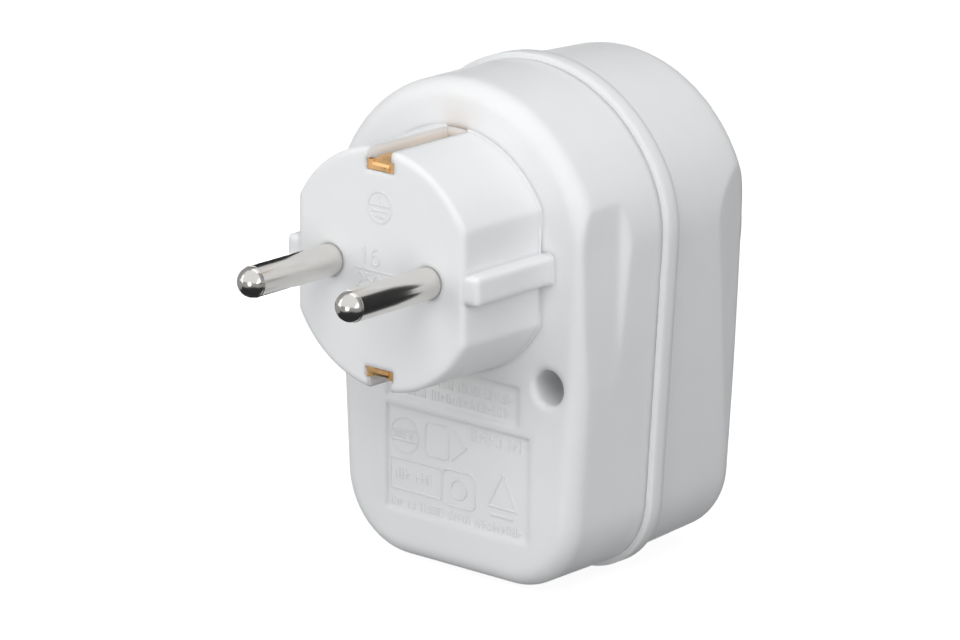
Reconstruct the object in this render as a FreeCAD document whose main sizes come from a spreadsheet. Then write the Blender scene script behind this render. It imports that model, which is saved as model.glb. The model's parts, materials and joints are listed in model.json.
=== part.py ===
"""Plug-in power meter for an earthed 16 A socket: plug behind, socket, display and keys in front.

Millimetres. The origin is the centre of the plug's face, midway between the pins. The pins point
along +Y into the wall, +Z is up and the user stands on the -Y side. A "depth" is a distance from the
plug's face towards the user, so a point at depth d lies at Y = -d. A "drop" is a distance below the
origin and a "side" is a distance from the middle plane.
"""
import FreeCAD, Part
import math
import os
import re

import Sketcher
from FreeCAD import Placement, Rotation, Vector

DIMENSIONS = {
    # plug
    "plug_radius": 18.25,
    "plug_flat": 16.1,
    "plug_edge_round": 0.8,
    "plug_face_wall": 4.0,
    "plug_bore_radius": 12.8,
    "plug_flange_overhang": 2.0,
    "plug_flange_thickness": 1.0,
    "rib_reach": 18.5,
    "rib_half_height": 2.2,
    "rib_start": 0.3,
    "rib_round": 0.7,
    "carrier_gap": 0.15,
    "carrier_relief_radius": 4.0,
    "carrier_relief_depth": 6.0,
    # pins
    "pin_spacing": 19.0,
    "pin_radius": 2.4,
    "pin_reach": 19.0,
    "pin_dome_radius": 2.32,
    "pin_recess_radius": 2.5,
    "pin_recess_depth": 0.35,
    "pin_shank_radius": 2.0,
    "pin_tail_radius": 1.2,
    "pin_tail_reach": 1.4,
    # earth strips in the plug
    "notch_half_width": 2.2,
    "notch_floor": 15.4,
    "notch_slot": 1.2,
    "clip_half_width": 2.1,
    "clip_front": 0.12,
    "clip_front_height": 0.2,
    "clip_nose": 0.35,
    "clip_nose_height": 0.6,
    "clip_shoulder": 1.2,
    "clip_shoulder_height": 1.0,
    "clip_bow_start": 2.4,
    "clip_bow_end": 4.4,
    "clip_bow": 1.25,
    "clip_rest_start": 9.0,
    "clip_rest": 0.95,
    "tongue_half_width": 1.65,
    "lip_half_width": 2.6,
    "lip_front": 0.3,
    "lip_back": 1.0,
    "lip_thickness": 0.5,
    "lip_ear_height": 0.95,
    "lip_pocket_gap": 0.15,
    "strip_thickness": 0.6,
    "yoke_thickness": 0.55,
    "yoke_stand_off": 3.6,
    "link_radius": 1.3,
    "link_collar_radius": 1.9,
    # case outline, seen along Y
    "arch_radius": 25.8,
    "arch_height": -0.43,
    "shoulder_radius": 19.0,
    "side_distance": 24.71,
    "base_drop": 50.15,
    "corner_radius": 12.15,
    "corner_centre": 10.43,
    "wall": 2.0,
    # case depths
    "rear_face": 17.0,
    "parting": 34.5,
    "parting_gap": 0.15,
    "band_width": 3.0,
    "band_proud": 0.85,
    "front_face": 57.5,
    "rear_round": 2.75,
    "front_draft": 2.5,
    "front_round": 4.2,
    "band_round": 0.4,
    "lip": 2.2,
    "fit_gap": 0.1,
    # grip facets on the sides
    "rear_grip_plane": 23.77,
    "rear_grip_end": 25.7,
    "rear_grip_run_out": 1.3,
    "front_grip_plane": 21.6,
    "front_grip_run_out": 3.4,
    "front_grip_lean": 1.15,
    "front_grip_wall": 0.75,
    "grip_run": 5.0,
    "grip_half_height": 60.0,
    # screws that close the case
    "screw_side": 17.8,
    "screw_drop": 18.0,
    "screw_well_radius": 2.7,
    "screw_well_round": 0.8,
    "screw_well_end": 30.0,
    "screw_boss_radius": 4.2,
    "front_boss_radius": 3.3,
    "screw_pilot_radius": 1.15,
    "screw_pilot_depth": 14.0,
    "screw_passage_radius": 1.7,
    "screw_head_radius": 2.5,
    "screw_head_height": 1.9,
    "screw_reach": 12.0,
    "cross_half_length": 1.5,
    "cross_half_width": 0.3,
    "cross_depth": 1.0,
    # recessed rating panels on the rear face
    "panel_relief": 0.35,
    "panel_right": 13.8,
    "upper_panel_left": 12.4,
    "upper_panel_top": 18.9,
    "upper_panel_bottom": 25.3,
    "lower_panel_left": 14.5,
    "lower_panel_top": 26.4,
    "lower_panel_bottom": 42.8,
    # socket
    "socket_radius": 19.75,
    "socket_depth": 17.5,
    "socket_rim": 0.4,
    "socket_hole_radius": 2.7,
    "socket_hole_rim": 0.5,
    "nose_reach": 16.7,
    "nose_gap": 2.6,
    "nose_top": 6.2,
    "nose_start": 1.5,
    "groove_floor": 16.6,
    "groove_top": 20.9,
    "groove_gap": 0.3,
    "groove_start": 3.5,
    "base_radius": 18.9,
    "base_back": 24.5,
    "base_notch_floor": 16.5,
    "base_screw_side": 16.2,
    "base_screw_reach": 1.2,
    "base_screw_hole": 1.15,
    # shutter behind the socket's floor
    "shutter_radius": 13.6,
    "shutter_turn": 36.0,
    "shutter_thickness": 1.4,
    "shutter_gap": 0.3,
    "shutter_window_gap": 0.2,
    "pivot_radius": 1.5,
    "pivot_gap": 0.06,
    "spring_radius": 2.6,
    "spring_wire": 0.3,
    "spring_bed_radius": 3.4,
    "spring_bed_depth": 3.8,
    "spring_hole_depth": 0.7,
    # socket contacts, earth strip and busbars
    "contact_bore": 2.45,
    "contact_wall": 0.8,
    "contact_back": 24.0,
    "contact_slit": 0.35,
    "contact_slit_start": 27.0,
    "contact_front_gap": 2.4,
    "tail_back": 23.5,
    "tail_thickness": 0.7,
    "tail_inner": 7.6,
    "tail_outer": 10.6,
    "tail_drop": 28.4,
    "socket_strip_back": 23.4,
    "socket_strip_thickness": 0.7,
    "socket_strip_reach": 17.7,
    "socket_strip_pinch": 15.7,
    "socket_strip_flare": 18.6,
    "socket_strip_straight": 1.5,
    "socket_strip_middle": 7.5,
    "socket_strip_length": 13.0,
    "busbar_inner": 3.4,
    "busbar_width": 3.2,
    "busbar_hub_outer": 11.6,
    "busbar_thickness": 0.8,
    "busbar_half_height": 2.4,
    "busbar_front": 22.2,
    "busbar_drop": 25.4,
    # display and keys
    "window_half_width": 17.0,
    "window_top": 23.5,
    "window_bottom": 35.5,
    "window_ledge": 1.0,
    "window_recess": 1.4,
    "window_sink": 0.15,
    "key_drop": 42.8,
    "key_pitch": 7.9,
    "key_half_width": 2.7,
    "key_half_height": 1.8,
    "key_gap": 0.2,
    "key_proud": 0.8,
    "key_flange": 0.6,
    "key_flange_thickness": 0.9,
    "key_stem_radius": 1.2,
    "key_stem_gap": 1.8,
    "mat_side": 15.4,
    "mat_half_height": 2.2,
    "mat_thickness": 0.5,
    "dome_radius": 1.9,
    "dome_top_radius": 1.3,
    "dome_height": 0.9,
    "reset_drop": 38.75,
    "reset_radius": 0.7,
    "reset_flange_radius": 1.5,
    "reset_stem_gap": 1.6,
    "post_side": 12.0,
    "post_radius": 1.5,
    "post_screw_radius": 0.65,
    "post_screw_reach": 1.5,
    # circuit boards
    "board_thickness": 1.6,
    "board_gap": 0.6,
    "board_top": 22.9,
    "main_board_back": 24.4,
    "board_post_side": 15.0,
    "board_post_drop": 40.0,
    "board_post_radius": 2.0,
    "board_screw_radius": 0.8,
    "board_screw_hole": 1.0,
    "board_screw_reach": 3.4,
    "small_head_radius": 1.8,
    "small_head_height": 1.2,
    "display_board_back": 49.0,
    "display_board_gap": 1.4,
    # parts on the main board
    "lead_radius": 0.25,
    "suppressor_side": 11.0,
    "suppressor_drop": 29.75,
    "suppressor_width": 13.0,
    "suppressor_height": 7.5,
    "suppressor_depth": 11.4,
    "suppressor_crown": 0.6,
    "smoothing_side": 12.6,
    "smoothing_drop": 29.6,
    "smoothing_radius": 4.0,
    "smoothing_length": 12.0,
    "smoothing_groove": 0.35,
    "smoothing_bung_radius": 3.2,
    "varistor_side": 1.8,
    "varistor_drop": 28.4,
    "varistor_radius": 4.2,
    "varistor_thickness": 3.2,
    "varistor_depth": 5.4,
    "varistor_lead_across": 0.8,
    "varistor_lead_up": 2.0,
    "varistor_lead_length": 2.6,
    "resistor_side": 8.0,
    "resistor_drop": 36.6,
    "resistor_length": 9.0,
    "resistor_radius": 1.9,
    "resistor_depth": 2.4,
    "resistor_wire_radius": 0.3,
    "resistor_span": 12.0,
    "resistor_lead_span": 11.4,
    "chip_side": 7.5,
    "chip_drop": 38.6,
    "chip_width": 10.0,
    "chip_height": 4.0,
    "chip_lift": 0.2,
    "chip_top": 1.8,
    "chip_leg_pitch": 1.27,
    "chip_leg_width": 0.4,
    "chip_leg_span": 6.2,
    "chip_leg_height": 0.9,
    "crystal_side": 4.0,
    "crystal_drop": 44.2,
    "crystal_width": 11.0,
    "crystal_height": 2.0,
    "crystal_lift": 0.4,
    "crystal_top": 3.9,
    "crystal_lead_side": 2.4,
    "header_side": 7.25,
    "header_drop": 42.95,
    "header_width": 9.5,
    "header_height": 0.9,
    "shunt_side": 5.0,
    "shunt_drop": 31.5,
    "shunt_width": 7.6,
    "shunt_height": 2.0,
    "shunt_foot": 0.8,
    "shunt_thickness": 0.7,
    "shunt_stand_off": 1.1,
    # parts on the display board
    "frame_gap": 0.6,
    "frame_wall": 1.0,
    "glass_gap": 0.4,
    "glass_thickness": 0.9,
    "glass_contact_edge": 1.2,
    "zebra_depth": 2.4,
    "zebra_height": 1.8,
    "zebra_inset": 1.4,
    "zebra_side_gap": 1.0,
    "driver_side": 9.5,
    "driver_drop": 32.0,
    "driver_size": 8.0,
    "driver_thickness": 1.4,
    "cell_side": 5.0,
    "cell_drop": 32.0,
    "cell_radius": 7.8,
    "cell_cap_radius": 6.6,
    "cell_stand_off": 0.7,
    "cell_thickness": 3.3,
    "cell_cap_step": 0.4,
    "cell_clip_width": 4.4,
    "cell_clip_span": 18.0,
    "cell_clip_thickness": 0.5,
}

doc = FreeCAD.newDocument("plug_in_power_meter")
sheet = doc.addObject("Spreadsheet::Sheet", "dims")
SCRATCH_CELL = "E1"
BEYOND = 1.0  # how far a cutter overshoots the face it opens
SIDES = (-1, 1)

# depths that several pieces share
INNER_FACE = "front_face - wall"
FLOOR_FRONT = "front_face - socket_depth"
FLOOR_BACK = "front_face - socket_depth - wall"
PLUG_BACK = "rear_face + wall"
YOKE_FRONT = "rear_face + yoke_stand_off"
MAIN_FACE = "main_board_back + board_thickness"
DISPLAY_FACE = "display_board_back + board_thickness"


def fill_sheet():
    """Put every driving dimension in its own named cell."""
    for row, (name, number) in enumerate(DIMENSIONS.items(), start=1):
        sheet.set("A%d" % row, name)
        sheet.set("B%d" % row, str(number))
        sheet.setAlias("B%d" % row, name)
    doc.recompute()


def cells(text):
    """Point each dimension's name in an expression at its cell."""
    return re.sub("[a-z_]+", lambda m: "dims." + m[0] if m[0] in DIMENSIONS else m[0], str(text))


def number(text):
    """Work out an expression from the sheet."""
    sheet.set(SCRATCH_CELL, "=" + str(text))
    sheet.recompute()
    return float(sheet.get(SCRATCH_CELL))


def bind(thing, **expressions):
    """Bind properties of an object to expressions over the sheet; at_x is Placement.Base.x."""
    for name, text in expressions.items():
        path = name.replace("at_", ".Placement.Base.") if name.startswith("at_") else name
        thing.setExpression(path, cells(text))
    return thing


def mirrored(side, text):
    """A position on one side of the middle."""
    return text if side > 0 else "-(%s)" % text


def mirrored_span(side, low, high):
    """A pair of limits on one side of the middle, in rising order."""
    return (low, high) if side > 0 else ("-(%s)" % high, "-(%s)" % low)


def before(text, less=BEYOND):
    return "%s - (%s)" % (text, less)


def after(text, more=BEYOND):
    return "%s + (%s)" % (text, more)


# ---------------------------------------------------------------- primitives

def box(name, x, y=None, z=None, depth=None):
    """A block between two X, two depths (or two Y) and two Z."""
    low_y, high_y = y if y else ("-(%s)" % depth[1], "-(%s)" % depth[0])
    block = doc.addObject("Part::Box", name)
    return bind(block, Length="%s - (%s)" % (x[1], x[0]), Width="%s - (%s)" % (high_y, low_y),
                Height="%s - (%s)" % (z[1], z[0]), at_x=x[0], at_y=low_y, at_z=z[0])


def block(name, x, z, width, height, depth):
    """A block between two depths, centred on one X and one Z."""
    return box(name, x=("%s - %s / 2" % (x, width), "%s + %s / 2" % (x, width)), depth=depth,
               z=("%s - %s / 2" % (z, height), "%s + %s / 2" % (z, height)))


def rod(name, radius, depth, x="0", z="0", cone_to=None):
    """A round bar along Y between two depths; with cone_to it tapers to that radius at its end."""
    bar = doc.addObject("Part::Cone" if cone_to else "Part::Cylinder", name)
    bar.Placement = Placement(Vector(), Rotation(Vector(1, 0, 0), 90))
    if cone_to:
        bind(bar, Radius1=radius, Radius2=cone_to)
    else:
        bind(bar, Radius=radius)
    return bind(bar, Height="%s - (%s)" % (depth[1], depth[0]), at_x=x, at_y="-(%s)" % depth[0], at_z=z)


def ball(name, radius, depth, x="0", z="0"):
    """A sphere centred at one depth."""
    sphere = doc.addObject("Part::Sphere", name)
    return bind(sphere, Radius=radius, at_x=x, at_y="-(%s)" % depth, at_z=z)


def ring(name, radius, wire_radius, depth, x="0", z="0"):
    """A torus about a line along Y."""
    torus = doc.addObject("Part::Torus", name)
    torus.Placement = Placement(Vector(), Rotation(Vector(1, 0, 0), 90))
    return bind(torus, Radius1=radius, Radius2=wire_radius, at_x=x, at_y="-(%s)" % depth, at_z=z)


def drum(name, radius, x, length, z, depth):
    """A round bar along X, centred on one X."""
    bar = doc.addObject("Part::Cylinder", name)
    bar.Placement = Placement(Vector(), Rotation(Vector(0, 1, 0), 90))
    return bind(bar, Radius=radius, Height=length, at_x="%s - %s / 2" % (x, length),
                at_y="-(%s)" % depth, at_z=z)


def fuse(name, *shapes):
    """One solid, or one group of solids, from several."""
    union = doc.addObject("Part::MultiFuse", name)
    union.Shapes = list(shapes)
    union.Refine = True
    return union


def cut(name, base, *tools):
    """The base without the tools."""
    rest = doc.addObject("Part::Cut", name)
    rest.Base = base
    rest.Tool = tools[0] if len(tools) == 1 else fuse(name + "_tools", *tools)
    rest.Refine = True
    return rest


def common(name, first, second):
    """What two shapes share."""
    both = doc.addObject("Part::Common", name)
    both.Base = first
    both.Tool = second
    return both


# ---------------------------------------------------------------- sketches and bodies

def new_body(name, plane, offset):
    """A body with one sketch on its own origin plane, moved along the plane's normal."""
    body = doc.addObject("PartDesign::Body", name)
    sketch = body.newObject("Sketcher::SketchObject", name + "_sketch")
    support = next(part for part in body.Origin.OriginFeatures if part.Role == plane)
    sketch.AttachmentSupport = [(support, "")]
    sketch.MapMode = "FlatFace"
    sketch.setExpression("AttachmentOffset.Base.z", cells(offset))
    return body, sketch


def drive(sketch, kind, elements, text):
    """Add a dimension to a sketch and bind it to an expression."""
    index = sketch.addConstraint(Sketcher.Constraint(kind, *elements, number(text)))
    sketch.setExpression("Constraints[%d]" % index, cells(text))


def place(sketch, shape, end, x, y):
    """Fix one end of a sketch element at a position."""
    drive(sketch, "DistanceX", (-1, 1, shape, end), x)
    drive(sketch, "DistanceY", (-1, 1, shape, end), y)


def draw_polygon(sketch, points):
    """A closed run of straight lines through points given as expressions."""
    places = [Vector(number(x), number(y)) for x, y in points]
    count = len(points)
    first = len(sketch.Geometry)
    for index in range(count):
        sketch.addGeometry(Part.LineSegment(places[index], places[(index + 1) % count]))
    for index, (x, y) in enumerate(points):
        following = first + (index + 1) % count
        sketch.addConstraint(Sketcher.Constraint("Coincident", first + index, 2, following, 1))
        place(sketch, first + index, 1, x, y)


def draw_panel(sketch, limits):
    """A rectangle from its left, right, bottom and top."""
    left, right, bottom, top = limits
    draw_polygon(sketch, [(left, bottom), (right, bottom), (right, top), (left, top)])


def draw_outline(sketch, grow):
    """The case's outline: an arch, two shoulders, closing sides and a round-cornered base.

    Outlines that differ only by grow share their arc centres and are parallel curves.
    """
    arch, shoulder, side, corner = (number("%s + %s" % (size, grow)) for size in
                                    ("arch_radius", "shoulder_radius", "side_distance", "corner_radius"))
    arch_z = number("arch_height")
    corner_x = number("corner_centre")
    corner_z = number("corner_radius - base_drop")
    # the side's lean makes it touch both the corner arc and a circle of radius side about the origin
    reach = math.hypot(corner_x, corner_z)
    lean = math.atan2(-corner_z, corner_x) - math.acos((side - corner) / reach)
    side_from_arch = side + arch_z * math.sin(lean)
    turn = math.acos((side_from_arch - shoulder) / (arch - shoulder)) - lean
    shoulder_x = (arch - shoulder) * math.cos(turn)
    shoulder_z = arch_z + (arch - shoulder) * math.sin(turn)

    def arc(x, z, radius, start, end):
        return Part.ArcOfCircle(Part.Circle(Vector(x, z), Vector(0, 0, 1), radius), start, end)

    def on_arc(x, z, radius, angle):
        return Vector(x + radius * math.cos(angle), z + radius * math.sin(angle))

    half = math.pi
    left_top = on_arc(-shoulder_x, shoulder_z, shoulder, half + lean)
    left_low = on_arc(-corner_x, corner_z, corner, half + lean)
    right_top = on_arc(shoulder_x, shoulder_z, shoulder, -lean)
    right_low = on_arc(corner_x, corner_z, corner, -lean)
    base_z = corner_z - corner
    sketch.addGeometry([
        arc(0, arch_z, arch, turn, half - turn),
        arc(-shoulder_x, shoulder_z, shoulder, half - turn, half + lean),
        Part.LineSegment(left_top, left_low),
        arc(-corner_x, corner_z, corner, half + lean, 1.5 * half),
        Part.LineSegment(Vector(-corner_x, base_z), Vector(corner_x, base_z)),
        arc(corner_x, corner_z, corner, 1.5 * half, 2 * half - lean),
        Part.LineSegment(right_low, right_top),
        arc(shoulder_x, shoulder_z, shoulder, -lean, turn)])
    for index in range(8):
        sketch.addConstraint(Sketcher.Constraint("Tangent", index, 2, (index + 1) % 8, 1))
    place(sketch, 0, 3, "0", "arch_height")
    drive(sketch, "Radius", (0,), "arch_radius + %s" % grow)
    for index in (1, 7):
        drive(sketch, "Radius", (index,), "shoulder_radius + %s" % grow)
    place(sketch, 3, 3, "-corner_centre", "corner_radius - base_drop")
    place(sketch, 5, 3, "corner_centre", "corner_radius - base_drop")
    drive(sketch, "Radius", (3,), "corner_radius + %s" % grow)


def pad(body, sketch, length, draft="0"):
    """Pad a body's sketch; draft is the angle by which its sides close in."""
    feature = body.newObject("PartDesign::Pad", body.Name + "_pad")
    feature.Profile = sketch
    feature.setExpression("Length", cells(length))
    feature.setExpression("TaperAngle", cells("-(%s)" % draft))
    sketch.Visibility = False
    return feature


def slab(name, depth, draw, detail, draft="0"):
    """A body padded towards the user between two depths, from what draw makes of a detail."""
    body, sketch = new_body(name, "XZ_Plane", depth[0])
    draw(sketch, detail)
    pad(body, sketch, "%s - (%s)" % (depth[1], depth[0]), draft)
    return body


def case_slab(name, depth, grow="0", draft="0"):
    return slab(name, depth, draw_outline, grow, draft)


def profile_x(name, points, x):
    """A bar with its outline in the YZ plane, given as (depth, z) pairs, between two X."""
    body, sketch = new_body(name, "YZ_Plane", x[0])
    draw_polygon(sketch, [("-(%s)" % depth, z) for depth, z in points])
    pad(body, sketch, "%s - (%s)" % (x[1], x[0]))
    return body


def round_edges(body, radius, chosen):
    """Fillet the edges of a body's solid that chosen picks."""
    doc.recompute()
    tip = body.Tip
    names = ["Edge%d" % (k + 1) for k, edge in enumerate(tip.Shape.Edges) if chosen(edge)]
    feature = body.newObject("PartDesign::Fillet", body.Name + "_round")
    feature.Base = (tip, names)
    feature.setExpression("Radius", cells(radius))
    return feature


def at_depth(*texts):
    """Picks the edges that lie wholly at one of some depths."""
    levels = [-number(text) for text in texts]

    def lies_there(edge):
        limits = edge.BoundBox
        return any(max(abs(limits.YMin - level), abs(limits.YMax - level)) < 0.01 for level in levels)
    return lies_there


def longer_than(text, also=lambda edge: False):
    """Picks the edges that run along Y for more than a length, and any others asked for."""
    limit = number(text) - BEYOND
    return lambda edge: edge.BoundBox.YLength > limit or also(edge)


# ---------------------------------------------------------------- plug

def plug_outline(sketch, grow):
    """The plug's round with a flat on each side."""
    radius, flat = number("plug_radius + " + grow), number("plug_flat + " + grow)
    height = math.sqrt(radius ** 2 - flat ** 2)
    slope = math.atan2(height, flat)
    for start in (slope, math.pi + slope):
        circle = Part.Circle(Vector(), Vector(0, 0, 1), radius)
        sketch.addGeometry(Part.ArcOfCircle(circle, start, start + math.pi - 2 * slope))
    sketch.addGeometry(Part.LineSegment(Vector(-flat, height), Vector(-flat, -height)))
    sketch.addGeometry(Part.LineSegment(Vector(flat, -height), Vector(flat, height)))
    for first, second in ((0, 2), (2, 1), (1, 3), (3, 0)):
        sketch.addConstraint(Sketcher.Constraint("Coincident", first, 2, second, 1))
    for arc in (0, 1):
        sketch.addConstraint(Sketcher.Constraint("Coincident", arc, 3, -1, 1))
        drive(sketch, "Radius", (arc,), "plug_radius + " + grow)
    for line in (2, 3):
        sketch.addConstraint(Sketcher.Constraint("Vertical", line))
        drive(sketch, "Distance", (-1, 1, line), "plug_flat + " + grow)


def make_plug_body():
    """The plug's moulding: flats and ribs at its sides, an earth notch above and below."""
    shell = slab("plug_round", ("0", PLUG_BACK), plug_outline, "0")
    round_edges(shell, "2 * plug_edge_round", longer_than("rear_face"))
    round_edges(shell, "plug_edge_round", at_depth("0"))
    ribs = slab("plug_ribs", ("rib_start", PLUG_BACK), draw_panel,
                ("-rib_reach", "rib_reach", "-rib_half_height", "rib_half_height"))
    round_edges(ribs, "rib_round", longer_than("rear_face", at_depth("rib_start")))
    flange = rod("plug_flange", "plug_radius + plug_flange_overhang",
                 (PLUG_BACK, after(PLUG_BACK, "plug_flange_thickness")))
    cuts = [rod("plug_bore", "plug_bore_radius", ("plug_face_wall", after(PLUG_BACK, "wall")))]
    half_notch = ("-notch_half_width", "notch_half_width")
    half_pocket = ("-lip_half_width - lip_pocket_gap", "lip_half_width + lip_pocket_gap")
    for side in SIDES:
        x = mirrored(side, "pin_spacing / 2")
        cuts.append(rod("plug_pin_hole", "pin_shank_radius", (-BEYOND, after("plug_face_wall")), x))
        cuts.append(rod("plug_pin_recess", "pin_recess_radius", (-BEYOND, "pin_recess_depth"), x))
        cuts.append(box("plug_notch", x=half_notch, depth=(-BEYOND, "rear_face"),
                        z=mirrored_span(side, "notch_floor", "plug_radius + 1")))
        cuts.append(box("plug_slot", x=half_notch, depth=(before("rear_face"), after(PLUG_BACK, "wall")),
                        z=mirrored_span(side, "notch_floor", "notch_floor + notch_slot")))
        cuts.append(box("plug_lip_pocket", x=half_pocket, depth=(-BEYOND, "lip_back + lip_pocket_gap"),
                        z=mirrored_span(side, "notch_floor - lip_thickness - fit_gap",
                                        "notch_floor + lip_ear_height + lip_pocket_gap")))
    return cut("plug_body", fuse("plug_solid", shell, ribs, flange), *cuts)


def make_pin(name, side):
    """A pin with a domed end, a thinner shank in the plug and a riveted tail."""
    x = mirrored(side, "pin_spacing / 2")
    shaft = rod(name + "_shaft", "pin_radius", ("pin_radius - pin_reach", "0"), x)
    dome = ball(name + "_dome", "pin_dome_radius", "pin_dome_radius - pin_reach", x)
    shank = rod(name + "_shank", "pin_shank_radius", ("-pin_shank_radius", "rear_face - fit_gap"), x)
    tail = rod(name + "_tail", "pin_tail_radius", (before("rear_face"), "rear_face + pin_tail_reach"), x)
    return fuse(name, shaft, dome, shank, tail)


def make_pin_carrier():
    """The disc inside the plug that holds both pins."""
    disc = rod("carrier_disc", "plug_bore_radius - carrier_gap", ("plug_face_wall", "rear_face - fit_gap"))
    holes = [rod("carrier_hole", "pin_shank_radius", ("plug_face_wall - 1", after("rear_face")),
                 mirrored(side, "pin_spacing / 2")) for side in SIDES]
    relief = rod("carrier_relief", "carrier_relief_radius",
                 ("rear_face - carrier_relief_depth", after("rear_face")))
    return cut("pin_carrier", disc, relief, *holes)


# ---------------------------------------------------------------- earth

def strips(name, run, thickness, half_width="clip_half_width"):
    """Two bent strips, one above the middle and one below.

    The outer side of each follows (depth, z) points and the inner side runs back below them.
    """
    outline = run + [(depth, before(z, thickness)) for depth, z in reversed(run)]
    return [profile_x(name, [(depth, mirrored(side, z)) for depth, z in outline],
                      ("-" + half_width, half_width)) for side in SIDES]


def make_plug_earth_clip():
    """A brass U: a bowed tongue in each notch, with a lip and two ears at its front end."""
    run = [("clip_front", "notch_floor + clip_front_height"), ("clip_nose", "notch_floor + clip_nose_height"),
           ("clip_shoulder", "notch_floor + clip_shoulder_height"),
           ("clip_bow_start", "notch_floor + clip_bow"), ("clip_bow_end", "notch_floor + clip_bow"),
           ("clip_rest_start", "notch_floor + clip_rest"), (YOKE_FRONT, "notch_floor + clip_rest")]
    yoke = box("plug_yoke", x=("-clip_half_width", "clip_half_width"),
               depth=(before(YOKE_FRONT, "yoke_thickness"), YOKE_FRONT),
               z=("-notch_floor - clip_rest", "notch_floor + clip_rest"))
    lips = []
    for side in SIDES:
        lips.append(box("plug_lip", x=("-lip_half_width", "lip_half_width"), depth=("lip_front", "lip_back"),
                        z=mirrored_span(side, "notch_floor - lip_thickness", "notch_floor + fit_gap")))
        lips += [box("plug_lip_ear", x=mirrored_span(end, "tongue_half_width - fit_gap", "lip_half_width"),
                     depth=("lip_front", "lip_back"),
                     z=mirrored_span(side, "notch_floor", "notch_floor + lip_ear_height")) for end in SIDES]
    return fuse("plug_earth_clip", yoke, *(strips("plug_strip", run, "strip_thickness", "tongue_half_width")
                                           + lips))


def make_socket_earth_clip():
    """The socket's own U, whose bowed ends bear on a plug's earth strips."""
    run = [("socket_strip_back", "socket_strip_reach"),
           (after(FLOOR_FRONT, "socket_strip_straight"), "socket_strip_reach"),
           (after(FLOOR_FRONT, "socket_strip_middle"), "socket_strip_pinch"),
           (after(FLOOR_FRONT, "socket_strip_length"), "socket_strip_flare")]
    yoke = box("socket_yoke", x=("-clip_half_width", "clip_half_width"),
               depth=("socket_strip_back", "socket_strip_back + socket_strip_thickness"),
               z=("-socket_strip_reach", "socket_strip_reach"))
    return fuse("socket_earth_clip", yoke, *strips("socket_strip", run, "socket_strip_thickness"))


def make_earth_link():
    """The rivet that joins the two earth strips."""
    collar = ("socket_strip_back - 2", "socket_strip_back - 0.8")
    return fuse("earth_link", rod("link_shank", "link_radius", (YOKE_FRONT, "socket_strip_back")),
                rod("link_collar", "link_collar_radius", collar))


# ---------------------------------------------------------------- case

def grip_cutters(name, grip_plane, start, run_out_from, run_out_to, lean="0"):
    """Wedges that plane a facet on each side of the case and run out at a slope.

    A lean turns the facets about Y so that they close in towards the case's base.
    """
    cutters = []
    for side in SIDES:
        body, sketch = new_body("%s_%s" % (name, "right" if side > 0 else "left"), "XY_Plane",
                                "-grip_half_height")
        plane = mirrored(side, grip_plane)
        outside = mirrored(side, grip_plane + " + grip_run")
        draw_polygon(sketch, [(plane, "-(%s)" % start), (plane, "-(%s)" % run_out_from),
                              (outside, "-(%s)" % run_out_to), (outside, "-(%s)" % start)])
        pad(body, sketch, "2 * grip_half_height")
        body.Placement = Placement(Vector(), Rotation(Vector(0, side, 0), number(lean)))
        cutters.append(body)
    return cutters


def make_rear_cup():
    """The rear shell's skin: rounded rear edge, grip flats, rebate at its rim and the plug's opening."""
    rim = "parting - parting_gap"
    through = (before("rear_face"), after(PLUG_BACK))
    outside = case_slab("rear_outside", ("rear_face", rim))
    round_edges(outside, "rear_round", at_depth("rear_face"))
    grips = grip_cutters("rear_grip", "rear_grip_plane", before("rear_face"), "rear_grip_end",
                         "rear_grip_end + grip_run * rear_grip_run_out")
    return cut("rear_cup", outside,
               case_slab("rear_inside", (PLUG_BACK, after("parting")), "-wall"),
               case_slab("rear_rebate", (before(rim, "lip + fit_gap"), after("parting")), "-wall / 2"),
               slab("rear_plug_hole", through, plug_outline, "fit_gap / 2"),
               slab("rear_rib_hole", through, draw_panel,
                    ("-rib_reach - fit_gap / 2", "rib_reach + fit_gap / 2",
                     "-rib_half_height - fit_gap / 2", "rib_half_height + fit_gap / 2")),
               *grips)


def sunk_panel(name, left, top, bottom):
    """A recess in the rear face with sloping sides."""
    limits = ("-%s - panel_relief" % left, "panel_right + panel_relief",
              "-%s - panel_relief" % bottom, "panel_relief - %s" % top)
    return slab(name, ("rear_face - panel_relief", "rear_face + panel_relief"), draw_panel, limits, "45")


def well_mouth(x):
    """A cutter that rounds the edge of one screw well."""
    wide = rod("well_mouth_block", "screw_well_radius + screw_well_round",
               (before("rear_face"), "rear_face + screw_well_round"), x, "-screw_drop")
    edge = ring("well_mouth_edge", "screw_well_radius + screw_well_round", "screw_well_round",
                "rear_face + screw_well_round", x, "-screw_drop")
    return cut("well_mouth", wide, edge)


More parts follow.
